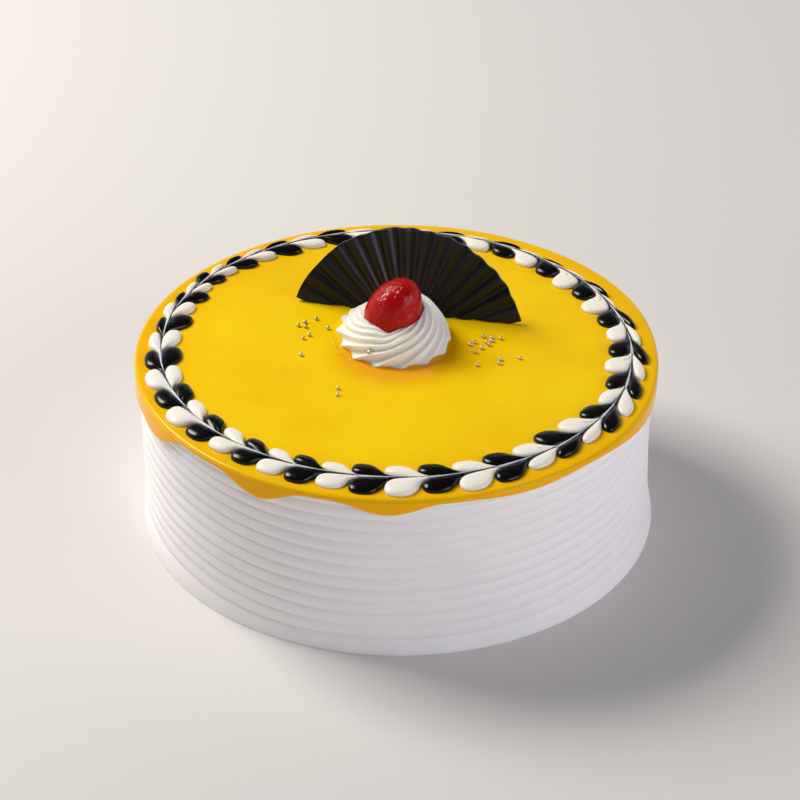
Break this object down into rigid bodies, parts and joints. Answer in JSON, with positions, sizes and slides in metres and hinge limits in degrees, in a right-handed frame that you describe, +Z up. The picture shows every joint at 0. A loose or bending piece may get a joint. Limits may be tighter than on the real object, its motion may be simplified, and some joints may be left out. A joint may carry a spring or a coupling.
{
  "type": "cherry cake",
  "caption": "Round cream cake with combed white sides, a yellow glaze that runs over the rim, a garland of black and white drops, a pleated chocolate fan, a cream rosette and a cherry",
  "frame": {"origin": "on the table under the middle of the cake", "axes": "+Z up, -Y toward the front from which the cake is seen, +X to its right"},
  "size_m": [0.2035, 0.2044, 0.1045],
  "materials": {
    "whipped_cream": "soft matt whipped cream, combed into level ridges",
    "yellow_glaze": "glossy set fruit glaze",
    "black_glaze": "very glossy dark chocolate glaze",
    "white_icing": "soft gloss ivory icing",
    "dark_chocolate": "semi-gloss tempered dark chocolate",
    "piped_cream": "soft satin piped cream",
    "glazed_cherry": "wet gloss candied cherry"
  },
  "bodies": {
    "root": {"cake_body": "whipped_cream", "yellow_glaze": "yellow_glaze", "drop_01_black": "black_glaze", "drop_02_white": "white_icing", "drop_03_black": "black_glaze", "drop_04_white": "white_icing", "drop_05_black": "black_glaze", "drop_06_white": "white_icing", "drop_07_black": "black_glaze", "drop_08_white": "white_icing", "drop_09_black": "black_glaze", "drop_10_white": "white_icing", "drop_11_black": "black_glaze", "drop_12_white": "white_icing", "drop_13_black": "black_glaze", "drop_14_white": "white_icing", "drop_15_black": "black_glaze", "drop_16_white": "white_icing", "drop_17_black": "black_glaze", "drop_18_white": "white_icing", "drop_19_black": "black_glaze", "drop_20_white": "white_icing", "drop_21_black": "black_glaze", "drop_22_white": "white_icing", "drop_23_black": "black_glaze", "drop_24_white": "white_icing", "drop_25_black": "black_glaze", "drop_26_white": "white_icing", "drop_27_black": "black_glaze", "drop_28_white": "white_icing", "drop_29_black": "black_glaze", "drop_30_white": "white_icing", "drop_31_black": "black_glaze", "drop_32_white": "white_icing", "drop_33_black": "black_glaze", "drop_34_white": "white_icing", "drop_35_black": "black_glaze", "drop_36_white": "white_icing", "drop_37_black": "black_glaze", "drop_38_white": "white_icing", "drop_39_black": "black_glaze", "drop_40_white": "white_icing", "drop_41_black": "black_glaze", "drop_42_white": "white_icing", "drop_43_black": "black_glaze", "drop_44_white": "white_icing", "drop_45_black": "black_glaze", "drop_46_white": "white_icing", "drop_47_black": "black_glaze", "drop_48_white": "white_icing", "chocolate_fan": "dark_chocolate", "cream_rosette": "piped_cream", "cherry": "glazed_cherry"}
  },
  "joints": []
}
